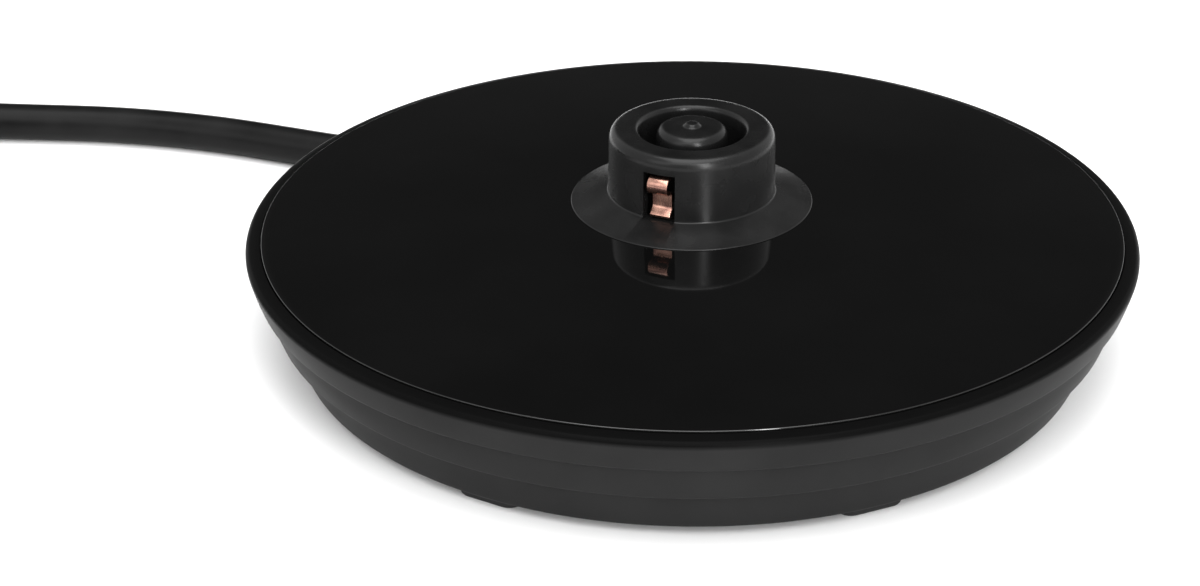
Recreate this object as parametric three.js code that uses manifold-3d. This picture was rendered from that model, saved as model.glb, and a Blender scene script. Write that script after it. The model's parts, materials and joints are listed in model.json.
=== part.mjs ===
// Corded power base of a cordless electric kettle: a round stand with a raised
// central connector, a cord store underneath and a mains cord with its plug.
// Millimetres, +Z up. The origin is on the floor, under the middle of the disc.

import * as THREE from 'three';
import { mergeVertices } from 'three/addons/utils/BufferGeometryUtils.js';
import Module from 'manifold-3d';

// ---- Driving dimensions ------------------------------------------------------

// Stand
const discRadius = 80;          // widest edge of the rim
const rimZ = 22.2;              // height of that edge above the floor
const footHeight = 1.9;         // rubber pad under the covers
const wall = 2;                 // moulded wall
const gap = 0.3;                // clearance between pieces that touch
const panelWall = 2.4;          // top panel
const panelInset = 2.9;         // rim to panel edge
const panelEdgeRise = 1.6;      // panel edge above the widest edge of the rim
const domeRise = 5.6;           // crown of the panel above its edge
const discSides = 48;           // facets round the stand

// Underside
const coverZ = footHeight + gap;      // underside of the bottom cover
const hubRadius = 33.3;               // hub that the cord is wound on
const storeInset = 22.5;              // rim to the outer wall of the cord store
const storeHeight = 14.5;             // ceiling of the cord store
const storeDraft = 1.8;               // taper of its side walls
const footRing = 15.5;                // rim to the middle of the feet
const footAngles = [240, 297, 0, 63, 117, 180];
const footLength = 12;
const footWidth = 7.8;
const coverScrewRing = 17;            // rim to the cover screws
const coverScrewAngles = [30, 150, 270];

// Connector
const postTopRadius = 14.7;
const postRootRadius = 15.1;
const postHeight = 11.8;        // post above its root
const flangeRadius = 21.6;
const flangeRise = 2;           // root of the post above the flange's rim
const wellRadius = 9.3;         // round recess that takes the kettle's plug ring
const shutterRadius = 6.4;
const shutterProud = 0.2;       // centre boss above the post
const shutterTravel = 6;
const skirtRadius = 16.6;       // part of the connector inside the panel's hole
const skirtLength = 9.3;
const connectorSides = 36;
const windowAngle = 247;        // earth contact window, from +X
const windowWidth = 6;
const windowHeight = 8.9;
const windowDrop = 0.4;         // sill of the window below the root of the post
const wellMouth = 0.8;          // bevel at the mouth of the recess
const contactWidth = 3.8;
const contactThickness = 0.5;
const liveAngle = 190;
const neutralAngle = 310;
const retainerRadius = 24.6;
const retainerScrewRing = 21.5;
const retainerScrewAngles = [70, 157, 343];

// Cord, plug and coil
const cordDiameter = 7.4;
const cordAngle = 129;          // direction in which the cord leaves the hub
const entryZ = 9.2;             // cord axis at the hub wall
const wireDiameter = 2.4;
const coilCentre = [-187, 53];
const coilRadius = 38;          // middle of the turns
const coilLayers = 2;
const coilLift = 0.9;           // the tie runs underneath
const plugRadius = 18.5;
const plugBodyLength = 32;
const plugNeckLength = 24;
const plugPinSpacing = 19;
const plugPinDiameter = 4.8;
const plugPinLength = 19;

// Route of the cord from the stand to the coil, chosen point by point.
const leadRoute = [
  [-37.8, 46.6, 9.1], [-42.2, 52.1, 8.5], [-46.6, 57.5, 7.4], [-51.0, 62.6, 6.2], [-55.8, 67.3, 5.1],
  [-61.4, 71.2, 4.4], [-68.0, 74.2, 4.0], [-75.5, 77.2, 3.8], [-84.0, 80.3, 3.8], [-93.0, 83.5, 3.8],
  [-102.0, 86.1, 3.8], [-112.0, 88.3, 3.8], [-123.0, 89.8, 3.8], [-134.0, 90.5, 3.8],
  [-145.0, 90.9, 3.9], [-154.0, 91.0, 4.2], [-162.5, 91.0, 4.6],
];
// Route of its end, from the coil to the plug.
const tailRoute = [
  [-233.0, 56.5, 12.6], [-233.8, 49.5, 13.6], [-234.2, 42.5, 15.0], [-234.3, 35.5, 16.6],
  [-234.3, 29.5, 17.8], [-234.3, 24.0, 18.2],
];

// ---- Sizes that follow -------------------------------------------------------

const panelRadius = discRadius - panelInset;
const panelEdgeZ = rimZ + panelEdgeRise;
const crownZ = panelEdgeZ + domeRise;
const panelTop = (r) => crownZ - domeRise * (r / panelRadius) ** 2;

const shellFootRadius = discRadius - 9.4;
const shellInnerRadius = shellFootRadius - wall - gap;
const storeRadius = discRadius - storeInset;
const coverTop = coverZ + wall;

const flangeZ = panelTop(flangeRadius) + gap;
const rootZ = flangeZ + flangeRise;
const postZ = rootZ + postHeight;
const skirtZ = flangeZ - skirtLength;
const cavityOuter = postTopRadius - 1.8;
const sleeveOuter = wellRadius + 1.3;
const legRoom = Math.min(cavityOuter, skirtRadius - wall);      // outer wall behind the contacts
const legRadius = legRoom - Math.min(0.9, (legRoom - sleeveOuter) / 2);
const cavityTop = postZ - 2.2;
const sleeveZ = postZ - 9.8;
const carrierTop = sleeveZ - gap;
const carrierRadius = Math.min(sleeveOuter - 0.2, legRadius - 1.6);
const carrierFlangeTop = skirtZ - gap;
const carrierFlangeZ = carrierFlangeTop - 3.6;
const carrierZ = carrierFlangeZ - 6.5;
const retainerTop = carrierFlangeZ - gap;
const retainerZ = retainerTop - 2.7;
const guideRadius = shutterRadius + 0.4;
const springSeatZ = carrierZ + 2.5;
const shutterTopZ = postZ + shutterProud;
const shutterFlangeTop = carrierTop - 3.3;
const shutterFlangeZ = shutterFlangeTop - 5;
const contactFootZ = carrierZ + 1.5;

const coilInner = coilRadius - cordDiameter / 2;
const coilOuter = coilRadius + cordDiameter / 2;
const coilTop = coilLift + coilLayers * cordDiameter + 0.3;

// ---- Solids ------------------------------------------------------------------

const wasm = await Module();
wasm.setup();
const { Manifold, Mesh: SolidMesh } = wasm;

const radians = (degrees) => (degrees * Math.PI) / 180;
const polar = (r, degrees) => [r * Math.cos(radians(degrees)), r * Math.sin(radians(degrees))];

/** Signed volume of indexed triangles, positive when they face outwards. */
function signedVolume(position, triangles) {
  const [a, b, c] = [new THREE.Vector3(), new THREE.Vector3(), new THREE.Vector3()];
  let total = 0;
  for (let i = 0; i < triangles.length; i += 3) {
    a.fromArray(position, triangles[i] * 3);
    b.fromArray(position, triangles[i + 1] * 3);
    c.fromArray(position, triangles[i + 2] * 3);
    total += a.dot(b.cross(c)) / 6;
  }
  return total;
}

/** Closed three.js geometry to a solid that faces outwards. */
function solid(geometry) {
  geometry.deleteAttribute('normal');
  geometry.deleteAttribute('uv');
  const merged = mergeVertices(geometry, 1e-4);
  const position = merged.getAttribute('position').array;
  const index = merged.getIndex().array;
  const triangles = [];
  for (let i = 0; i < index.length; i += 3) {
    const [a, b, c] = [index[i], index[i + 1], index[i + 2]];
    if (a !== b && b !== c && c !== a) triangles.push(a, b, c);
  }
  if (signedVolume(position, triangles) < 0) triangles.reverse();
  const vertProperties = new Float32Array(position);
  const triVerts = new Uint32Array(triangles);
  return new Manifold(new SolidMesh({ numProp: 3, vertProperties, triVerts }));
}

/** Solid back to a three.js geometry. */
function geometryOf(body) {
  const mesh = body.getMesh();
  const geometry = new THREE.BufferGeometry();
  geometry.setAttribute('position', new THREE.BufferAttribute(mesh.vertProperties, 3));
  geometry.setIndex(new THREE.BufferAttribute(mesh.triVerts, 1));
  geometry.computeVertexNormals();
  return geometry;
}

/** Profile of [radius, z] points turned about Z. */
function revolve(profile, sides = 24) {
  const points = profile.map(([r, z]) => new THREE.Vector2(r, z));
  return solid(new THREE.LatheGeometry(points, sides).rotateX(Math.PI / 2));
}

/** Ring whose closed profile doesn't touch the axis. */
const ring = (profile, sides) => revolve([...profile, profile[0]], sides);

/** Upright cylinder from z0 to z1 at x, y. */
function cylinder(radius, z0, z1, [x, y], sides = 20) {
  const geometry = new THREE.CylinderGeometry(radius, radius, z1 - z0, sides);
  return solid(geometry.rotateX(Math.PI / 2).translate(x, y, (z0 + z1) / 2));
}

/** Box that lies along a radius at an angle, from radius r0 to r1 and z0 to z1. */
function radialBox(r0, r1, width, z0, z1, degrees) {
  const geometry = new THREE.BoxGeometry(r1 - r0, width, z1 - z0);
  return solid(geometry.translate((r0 + r1) / 2, 0, (z0 + z1) / 2).rotateZ(radians(degrees)));
}

/** Outline of x, y points pulled up from z0 to z1. */
function prism(shape, z0, z1) {
  const options = { depth: z1 - z0, bevelEnabled: false, curveSegments: 3 };
  const geometry = new THREE.ExtrudeGeometry(shape, options);
  return solid(geometry.translate(0, 0, z0));
}

/** Round bar that follows a list of points. */
function tube(points, diameter, steps, sides) {
  const route = new THREE.CatmullRomCurve3(points.map((p) => new THREE.Vector3(...p)));
  const section = new THREE.Shape();
  for (let i = 0; i < sides; i += 1) {
    const [x, y] = polar(diameter / 2, (360 * i) / sides);
    if (i === 0) section.moveTo(x, y);
    else section.lineTo(x, y);
  }
  const options = { steps, extrudePath: route, bevelEnabled: false };
  return solid(new THREE.ExtrudeGeometry(section, options));
}

/** Shape with rounded ends, centred, long side along x. */
function roundedBar(length, width, corner) {
  const shape = new THREE.Shape();
  const [x, y] = [length / 2, width / 2];
  shape.moveTo(-x + corner, -y).lineTo(x - corner, -y);
  shape.absarc(x - corner, -y + corner, corner, -Math.PI / 2, 0);
  shape.lineTo(x, y - corner).absarc(x - corner, y - corner, corner, 0, Math.PI / 2);
  shape.lineTo(-x + corner, y).absarc(-x + corner, y - corner, corner, Math.PI / 2, Math.PI);
  shape.lineTo(-x, -y + corner).absarc(-x + corner, -y + corner, corner, Math.PI, Math.PI * 1.5);
  return shape;
}

/** Sheet-metal strip: a bent line of [radius, z] points with a thickness and a width. */
function strip(line, thickness, width, degrees) {
  const points = line.map(([r, z]) => new THREE.Vector2(r, z));
  const side = (sign) => points.map((point, i) => {
    const before = points[Math.max(i - 1, 0)];
    const after = points[Math.min(i + 1, points.length - 1)];
    const along = after.clone().sub(before).normalize();
    return new THREE.Vector2(-along.y, along.x).multiplyScalar((sign * thickness) / 2).add(point);
  });
  const shape = new THREE.Shape([...side(1), ...side(-1).reverse()]);
  const geometry = new THREE.ExtrudeGeometry(shape, { depth: width, bevelEnabled: false });
  geometry.translate(0, 0, -width / 2).rotateX(Math.PI / 2).rotateZ(radians(degrees));
  return solid(geometry);
}

// ---- Stand -------------------------------------------------------------------

/** Points of the panel's upper or lower face, from the middle outwards. */
function panelFace(from, to, drop) {
  const steps = 4;
  const face = [];
  for (let i = 0; i <= steps; i += 1) {
    const r = from + ((to - from) * i) / steps;
    face.push([r, panelTop(r) - drop]);
  }
  return face;
}

/** Gloss panel with the connector's hole, screw posts and retainer posts. */
function topCover() {
  const hole = skirtRadius + 0.4;
  const upper = panelFace(hole, panelRadius - 0.4, 0);
  const lower = panelFace(hole, panelRadius, panelWall);
  const edge = [[panelRadius, panelTop(panelRadius) - 0.4]];
  let body = ring([...lower, ...edge, ...upper.reverse()], discSides);
  const posts = [
    ...coverScrewAngles.map((angle) => [discRadius - coverScrewRing, angle, coverTop + 2.1, 2]),
    ...retainerScrewAngles.map((angle) => [retainerScrewRing, angle, retainerTop + gap, 2.4]),
  ];
  for (const [r, angle, foot, radius] of posts) {
    const place = polar(r, angle);
    body = body.add(cylinder(radius, foot, panelTop(r) - 1, place, 12));
    body = body.subtract(cylinder(1.3, foot - 1, panelTop(r) - panelWall - 1, place, 8));
  }
  return body;
}

/** Opening in the outer walls that the cord passes through. */
function cordNotch() {
  return radialBox(storeRadius - 3, discRadius + 4, cordDiameter + 3, -1, entryZ + 4.6, cordAngle);
}

/** Side wall in three stepped tiers under a rounded rim, with a seat for the panel. */
function sideShell() {
  const [a, b, c] = [discRadius - 1.7, discRadius - 4.9, shellFootRadius];
  const [aZ, bZ] = [rimZ - 5.2, rimZ - 12.1];
  const seat = panelRadius + 0.4;
  const seatZ = panelTop(panelRadius) - panelWall - 0.4;
  const outside = [
    [shellInnerRadius, coverZ], [c - 0.4, coverZ], [c, coverZ + 0.4], [b - 1.6, bZ - 0.5], [b, bZ],
    [a - 1.4, aZ - 0.5], [a, aZ], [discRadius - 1, rimZ - 1.4], [discRadius - 0.2, rimZ - 0.6],
    [discRadius, rimZ], [discRadius - 0.3, rimZ + 0.6], [discRadius - 1.4, rimZ + 1.2],
  ];
  const inside = [
    [seat, rimZ + 1.2], [seat, seatZ], [seat - 2.3, seatZ], [seat - 2.3, aZ + 0.4],
    [b - 2.3, bZ + 0.8], [b - 4.2, bZ - 0.6], [shellInnerRadius + 0.5, coverTop + 2],
    [shellInnerRadius - 1.4, coverTop + 2], [shellInnerRadius - 1.4, coverTop + gap],
    [shellInnerRadius, coverTop + gap],
  ];
  return ring([...outside, ...inside], discSides).subtract(cordNotch());
}

/** Bottom cover: hub, cord store and outer flange, with screw wells and cord-clamp posts. */
function bottomCover() {
  const outer = shellInnerRadius - gap;
  const profile = [
    [0, coverZ], [hubRadius, coverZ], [hubRadius + storeDraft, storeHeight],
    [storeRadius, storeHeight], [storeRadius + storeDraft, coverZ], [outer, coverZ], [outer, coverTop],
    [storeRadius + storeDraft + wall - gap, coverTop], [storeRadius + wall - gap, storeHeight + wall],
    [hubRadius + storeDraft - wall, storeHeight + wall], [hubRadius - wall, coverTop], [0, coverTop],
  ];
  let body = revolve(profile, discSides);
  for (const angle of coverScrewAngles) {
    const place = polar(discRadius - coverScrewRing, angle);
    body = body.add(cylinder(3.4, coverZ + 0.5, coverTop + 1.8, place, 14));
    body = body.subtract(cylinder(2.9, coverZ - 1, coverZ + 2.2, place, 14));
    body = body.subtract(cylinder(1.4, coverZ, coverTop + 3, place, 8));
  }
  for (const angle of footAngles) {
    const place = polar(discRadius - footRing, angle);
    body = body.subtract(cylinder(1.8 + gap, coverZ - 1, coverTop + 1, place, 8));
  }
  const entry = new THREE.CylinderGeometry(4.3, 4.3, 12, 12).rotateZ(Math.PI / 2);
  entry.translate(hubRadius + 0.5, 0, entryZ).rotateZ(radians(cordAngle));
  body = body.subtract(solid(entry)).subtract(cordNotch());
  for (const place of clampPlaces()) {
    body = body.add(cylinder(2.3, coverTop - 0.5, clampZ - gap, place, 12));
    body = body.subtract(cylinder(1.3, coverTop + 1, clampZ + 1, place, 8));
  }
  return body;
}

/** Rubber foot: a long pad and a stem that plugs into the bottom cover. */
function foot(angle) {
  const pad = prism(roundedBar(footWidth, footLength, 2.6), 0, footHeight);
  const stem = cylinder(1.6, footHeight - 0.5, coverTop, [0, 0], 8);
  const place = polar(discRadius - footRing, angle);
  return pad.add(stem).rotate([0, 0, angle]).translate([...place, 0]);
}

/** Pan-head screw from z, pointing up, or down for a negative length. */
function screw(place, z, length, headRadius, shankRadius) {
  const way = Math.sign(length);
  const head = 1.7 * way;
  const profile = [
    [0, 0], [headRadius - 0.5, 0], [headRadius, 0.5 * way], [headRadius, head],
    [shankRadius, head], [shankRadius, length], [0, length],
  ];
  return revolve(profile, 10).translate([...place, z]);
}

// ---- Connector ---------------------------------------------------------------

/** Post and flange: the part of the connector that the kettle stands over. */
function socketCover() {
  const under = panelTop(skirtRadius) + gap;
  const post = [
    [flangeRadius, flangeZ], [flangeRadius, flangeZ + 0.5], [postRootRadius + 2.4, rootZ - 0.5],
    [postRootRadius + 0.6, rootZ], [postRootRadius, rootZ + 0.7], [postTopRadius, postZ - 1],
    [postTopRadius - 0.3, postZ - 0.3], [postTopRadius - 1, postZ], [wellRadius + wellMouth, postZ],
    [wellRadius, postZ - wellMouth],
  ];
  const inside = [
    [wellRadius, sleeveZ], [sleeveOuter, sleeveZ], [sleeveOuter, cavityTop], [cavityOuter, cavityTop],
    [cavityOuter, rootZ - 1], [skirtRadius - wall, flangeZ - 0.6], [skirtRadius - wall, skirtZ],
    [skirtRadius, skirtZ], [skirtRadius, under],
  ];
  const sill = rootZ - windowDrop;
  const lintel = sill + windowHeight;
  const opening = radialBox(cavityOuter - 1, postRootRadius + 3, windowWidth, sill, lintel, windowAngle);
  let body = ring([...post, ...inside], connectorSides).subtract(opening);
  for (const [angle, z] of [[liveAngle, postZ - 8.4], [neutralAngle, postZ - 6.2]]) {
    body = body.subtract(radialBox(wellRadius - 1, sleeveOuter + 0.5, contactWidth + 1, z, z + 3.6, angle));
  }
  return body;
}

/** Slot that a contact's leg passes through in the carrier and the retainer. */
function legSlot(angle) {
  const outer = Math.min(legRadius + 2.2, skirtRadius - 0.2 - 1);
  return radialBox(carrierRadius, outer, contactWidth + 1.2, carrierZ + 1, carrierFlangeTop + 1, angle);
}

/** Fixed core of the connector: shutter guide, spring cup and contact slots. */
function contactCarrier() {
  const profile = [
    [0, carrierZ], [carrierRadius, carrierZ], [carrierRadius, carrierFlangeZ],
    [skirtRadius - 0.2, carrierFlangeZ], [skirtRadius - 0.2, carrierFlangeTop],
    [carrierRadius, carrierFlangeTop], [carrierRadius, carrierTop], [guideRadius, carrierTop],
    [guideRadius, shutterFlangeTop + 0.4], [guideRadius + 1.2, shutterFlangeTop + 0.4],
    [guideRadius + 1.2, springSeatZ], [0, springSeatZ],
  ];
  let body = revolve(profile, connectorSides);
  for (const angle of [windowAngle, liveAngle, neutralAngle]) body = body.subtract(legSlot(angle));
  return body;
}

/** Plate that clamps the connector to the top cover from below. */
function socketRetainer() {
  const inner = carrierRadius + 0.4;
  const profile = [
    [inner, retainerZ], [retainerRadius, retainerZ], [retainerRadius, retainerTop], [inner, retainerTop],
  ];
  let body = ring(profile, connectorSides);
  for (const angle of [windowAngle, liveAngle, neutralAngle]) body = body.subtract(legSlot(angle));
  for (const angle of retainerScrewAngles) {
    body = body.subtract(cylinder(1.6, retainerZ - 1, retainerTop + 1, polar(retainerScrewRing, angle), 8));
  }
  const cordTop = entryZ + cordDiameter / 2 + 0.1;
  const [from, to] = [sheathEnd - 2.4 - 2 * wireDiameter, retainerRadius + 1];
  const overCord = radialBox(from, to, cordDiameter + 2 * wireDiameter, 0, cordTop, cordAngle);
  return body.subtract(overCord);
}

/** Spring-loaded centre boss with a small locating nub on top. */
function shutter() {
  const r = shutterRadius;
  return revolve([
    [0, shutterFlangeZ + 3], [r - 2, shutterFlangeZ + 3], [r - 2, shutterFlangeZ], [r + 0.9, shutterFlangeZ],
    [r + 0.9, shutterFlangeTop], [r, shutterFlangeTop], [r, shutterTopZ - 0.6], [r - 0.6, shutterTopZ],
    [1.4, shutterTopZ], [1.35, shutterTopZ + 0.8], [0.9, shutterTopZ + 1], [0, shutterTopZ + 1],
  ], connectorSides);
}

/** Return spring under the shutter. */
function shutterSpring() {
  const [turns, wire, radius] = [4, 0.9, shutterRadius - 0.6];
  const [low, high] = [springSeatZ + wire / 2 + 0.2, shutterFlangeZ - wire / 2 - 0.2];
  const points = [];
  for (let i = 0; i <= turns * 8; i += 1) {
    const share = i / (turns * 8);
    points.push([...polar(radius, share * turns * 360), low + (high - low) * share]);
  }
  return tube(points, wire, turns * 10, 5);
}

/** Earth contact: a leg inside the post and a rolled nose that stands out of the window. */
function earthContact() {
  const leg = legRadius;
  return strip([
    [leg, contactFootZ], [leg, rootZ - 0.9], [leg + 0.4, rootZ], [leg + 2.1, rootZ + 0.3],
    [leg + 0.9, rootZ + 1.6], [leg + 0.9, rootZ + 4.6], [leg + 2.7, rootZ + 5.1], [leg + 3.4, rootZ + 6.3],
    [leg + 2.8, rootZ + 7.4], [leg + 1.2, rootZ + 7.8],
  ], contactThickness, contactWidth, windowAngle);
}

/** Live or neutral contact: a leg and a nose that reaches through the sleeve into the well. */
function ringContact(angle, noseZ) {
  const leg = legRadius;
  const bend = Math.min(1.2, leg - sleeveOuter - 0.2);
  return strip([
    [leg, contactFootZ], [leg, noseZ - 2.2], [leg - bend, noseZ - 1.1], [wellRadius - 0.2, noseZ],
    [leg - 1.3, noseZ + 1], [leg - 0.4, noseZ + 1.5],
  ], contactThickness, contactWidth, angle);
}

/** Push-on receptacle round the foot of a contact. */
function terminal(angle) {
  const r = legRadius;
  const [low, high] = [contactFootZ - 2.2, retainerZ - gap];
  const room = radialBox(r - 0.65, r + 0.65, contactWidth + 0.6, contactFootZ - 0.4, high + 1, angle);
  return radialBox(r - 1.3, r + 1.3, contactWidth + 2, low, high, angle).subtract(room);
}

/** Insulated wire from a terminal, round the hub and into the end of the sheath. */
function wire(fromAngle, toAngle, ringRadius, z, [across, rise]) {
  const steps = Math.max(2, Math.round(Math.abs(toAngle - fromAngle) / 30));
  const height = Math.min(z, retainerZ - wireDiameter / 2 - gap);
  const points = [[...polar(legRadius + 2.5, fromAngle), contactFootZ - 0.5]];
  for (let i = 0; i <= steps; i += 1) {
    const angle = fromAngle + ((toAngle - fromAngle) * i) / steps;
    points.push([...polar(ringRadius - (i === 0 ? 1.5 : 0), angle), height]);
  }
  const [dx, dy] = polar(across, cordAngle + 90);
  for (const r of [sheathEnd - 2.4, sheathEnd - gap]) {
    const [x, y] = polar(r, cordAngle);
    points.push([x + dx, y + dy, entryZ + rise]);
  }
  return tube(points, wireDiameter, 6 + 3 * steps, 6);
}

// ---- Cord --------------------------------------------------------------------

const clampRing = hubRadius - wall - 4.3;
const sheathEnd = clampRing - 3;
const clampZ = entryZ + cordDiameter / 2 + 0.3;
const reliefTip = storeRadius - 1;
const wireZ = coverTop + wireDiameter / 2 + 0.6;

/** Centres of the two clamp screws, either side of the cord. */
function clampPlaces() {
  const [x, y] = polar(clampRing, cordAngle);
  return [-1, 1].map((side) => {
    const [dx, dy] = polar(side * (cordDiameter / 2 + 3), cordAngle + 90);
    return [x + dx, y + dy];
  });
}

/** Bar that grips the cord inside the hub. */
function cordClamp() {
  const bar = prism(roundedBar(4, cordDiameter + 11, 1), clampZ, clampZ + 2);
  let body = bar.rotate([0, 0, cordAngle]).translate([...polar(clampRing, cordAngle), 0]);
  for (const place of clampPlaces()) body = body.subtract(cylinder(1.4, clampZ - 1, clampZ + 3, place, 8));
  return body;
}

/** Profile of [radius, distance] turned about the cord's axis at the hub wall. */
function alongCord(profile, sides) {
  return revolve(profile, sides).rotate([0, 90, 0]).translate([0, 0, entryZ]).rotate([0, 0, cordAngle]);
}

/** Tapered sleeve that protects the cord where it leaves the hub. */
function strainRelief() {
  const r = cordDiameter / 2;
  const inside = hubRadius - wall - 0.9;
  const outside = hubRadius + storeDraft + gap;
  return alongCord([
    [0, inside - 1.1], [4.6, inside - 1.1], [4.6, inside], [3.8, inside], [3.8, outside],
    [5, outside], [5, outside + 3], [r + 0.5, reliefTip], [0, reliefTip],
  ], 20);
}

/** Short end of the sheath inside the hub. */
function sheathStub() {
  const r = cordDiameter / 2;
  const inside = hubRadius - wall - 2.4;
  return alongCord([[0, sheathEnd], [r, sheathEnd], [r, inside], [0, inside]], 12);
}

/** Cord from the strain relief to the coil. */
function cordLead() {
  const start = reliefTip + gap + 0.2;
  const first = [...polar(start, cordAngle), entryZ];
  const rest = leadRoute.filter(([x, y]) => Math.hypot(x, y) > start + 1.5);
  return tube([first, ...rest], cordDiameter, 44, 8);
}

/** Outer shape of the coil. */
function cordCoil() {
  const c = 2;
  return ring([
    [coilInner + c, coilLift], [coilOuter - c, coilLift], [coilOuter, coilLift + c], [coilOuter, coilTop - c],
    [coilOuter - c, coilTop], [coilInner + c, coilTop], [coilInner, coilTop - c], [coilInner, coilLift + c],
  ], 32).translate([...coilCentre, 0]);
}

/** Band round the turns of the coil. */
function cordTie() {
  const thickness = coilLift - gap;
  const [low, high] = [coilInner - 0.7, coilOuter + gap];
  const outer = radialBox(low - thickness, high + thickness, 8, 0, coilTop + gap + thickness, 300);
  const hole = radialBox(low, high, 10, thickness, coilTop + gap, 300);
  return outer.subtract(hole).translate([...coilCentre, 0]);
}

/** Turns a piece made along +Z from the cord's end to lie along the plug's axis. */
function alongPlug(body) {
  const [x, y, z] = tailRoute[tailRoute.length - 1];
  return body.rotate([90, 0, 0]).translate([x, y - gap - 0.2, z]);
}

/** Round mains plug: ribbed neck, grip and recessed earth-clip sides. */
function plugBody() {
  const r = cordDiameter / 2;
  const [neck, end] = [plugNeckLength, plugNeckLength + plugBodyLength];
  const body = revolve([
    [0, 0], [r + 0.9, 0], [r + 3, neck - 4], [10, neck], [15.5, neck + 7], [16.5, neck + 14],
    [plugRadius, neck + 17], [plugRadius, end - 0.8], [plugRadius - 0.8, end], [0, end],
  ], 28);
  const flat = new THREE.BoxGeometry(7, 2.4, 17);
  const sides = [-1, 1].map((side) => solid(flat.clone().translate(0, side * plugRadius, end - 8.5)));
  return alongPlug(body.subtract(sides[0]).subtract(sides[1]));
}

/** One of the plug's two round pins. */
function plugPin(side) {
  const z = plugNeckLength + plugBodyLength + gap;
  const r = plugPinDiameter / 2;
  const tip = z + plugPinLength;
  const profile = [[0, z], [r, z], [r, tip - 1.6], [r - 1, tip], [0, tip]];
  return alongPlug(revolve(profile, 10).translate([(side * plugPinSpacing) / 2, 0, 0]));
}

/** Springy earth clip on one flat of the plug. */
function plugClip(side) {
  const end = plugNeckLength + plugBodyLength;
  const clip = new THREE.BoxGeometry(5.4, 0.6, 14).translate(0, side * (plugRadius - 0.6), end - 8);
  return alongPlug(solid(clip));
}

// ---- Assembly ----------------------------------------------------------------

const finishes = {
  gloss: { color: 0x0c0c0d, roughness: 0.08, metalness: 0 },
  satin: { color: 0x171718, roughness: 0.35, metalness: 0 },
  moulding: { color: 0x1b1b1c, roughness: 0.5, metalness: 0 },
  nylon: { color: 0x2a2a2b, roughness: 0.55, metalness: 0 },
  rubber: { color: 0x161616, roughness: 0.85, metalness: 0 },
  sheath: { color: 0x141414, roughness: 0.5, metalness: 0 },
  copper: { color: 0xc98a5e, roughness: 0.3, metalness: 1 },
  brass: { color: 0xc9b27a, roughness: 0.35, metalness: 1 },
  nickel: { color: 0xc9cacc, roughness: 0.25, metalness: 1 },
  steel: { color: 0x9a9ca0, roughness: 0.35, metalness: 1 },
  earthWire: { color: 0x6f9a2c, roughness: 0.5, metalness: 0 },
  liveWire: { color: 0x5a3218, roughness: 0.5, metalness: 0 },
  neutralWire: { color: 0x1f4f9a, roughness: 0.5, metalness: 0 },
};
const materials = Object.fromEntries(
  Object.entries(finishes).map(([name, values]) => [name, new THREE.MeshStandardMaterial(values)]),
);

const base = new THREE.Group();

function place(name, finish, body) {
  const mesh = new THREE.Mesh(geometryOf(body), materials[finish]);
  mesh.name = name;
  base.add(mesh);
}

place('top_cover', 'gloss', topCover());
place('side_shell', 'moulding', sideShell());
place('bottom_cover', 'moulding', bottomCover());
footAngles.forEach((angle, i) => place(`foot_${i + 1}`, 'rubber', foot(angle)));
coverScrewAngles.forEach((angle, i) => {
  const at = polar(discRadius - coverScrewRing, angle);
  place(`cover_screw_${i + 1}`, 'steel', screw(at, coverZ + 0.2, 12, 2.5, 1));
});

place('socket_cover', 'satin', socketCover());
place('contact_carrier', 'nylon', contactCarrier());
place('socket_retainer', 'nylon', socketRetainer());
retainerScrewAngles.forEach((angle, i) => {
  const at = polar(retainerScrewRing, angle);
  place(`retainer_screw_${i + 1}`, 'steel', screw(at, retainerZ - gap - 1.7, 9, 2.4, 1));
});
place('shutter', 'satin', shutter());
place('shutter_spring', 'steel', shutterSpring());

place('earth_contact', 'copper', earthContact());
place('live_contact', 'copper', ringContact(liveAngle, postZ - 6.7));
place('neutral_contact', 'copper', ringContact(neutralAngle, postZ - 4.5));
place('earth_terminal', 'brass', terminal(windowAngle));
place('live_terminal', 'brass', terminal(liveAngle));
place('neutral_terminal', 'brass', terminal(neutralAngle));
place('live_wire', 'liveWire', wire(liveAngle, cordAngle + 16, 17.2, wireZ + 3, [1.5, 1.2]));
place('earth_wire', 'earthWire', wire(windowAngle, cordAngle + 24, 20.4, wireZ, [0, -1.4]));
place('neutral_wire', 'neutralWire', wire(neutralAngle, cordAngle + 344, 17.2, wireZ + 3, [-1.5, 1.2]));

place('strain_relief', 'rubber', strainRelief());
place('cord_sheath_end', 'sheath', sheathStub());
place('cord_clamp', 'nylon', cordClamp());
clampPlaces().forEach((at, i) => {
  place(`clamp_screw_${i + 1}`, 'steel', screw(at, clampZ + 2 + gap + 1.7, -7, 2.1, 1));
});

place('cord_lead', 'sheath', cordLead());
place('cord_coil', 'sheath', cordCoil());
place('cord_tie', 'rubber', cordTie());
place('cord_tail', 'sheath', tube(tailRoute, cordDiameter, 12, 8));
place('plug_body', 'moulding', plugBody());
[-1, 1].forEach((side, i) => {
  place(`plug_pin_${i + 1}`, 'nickel', plugPin(side));
  place(`plug_earth_clip_${i + 1}`, 'nickel', plugClip(side));
});

export default base;
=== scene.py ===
# %% [markdown]
# # The power base of a cordless kettle
# A black gloss disc carries a satin connector in its middle, and a mains cord leaves it at the back.
# The exact, functional model already exists as a frame of plain facets. This lesson loads that frame
# and gives every piece the finish that the real moulding has, and most pieces a smooth surface.

# %% Load the frame and keep its box
import json
import math

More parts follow.
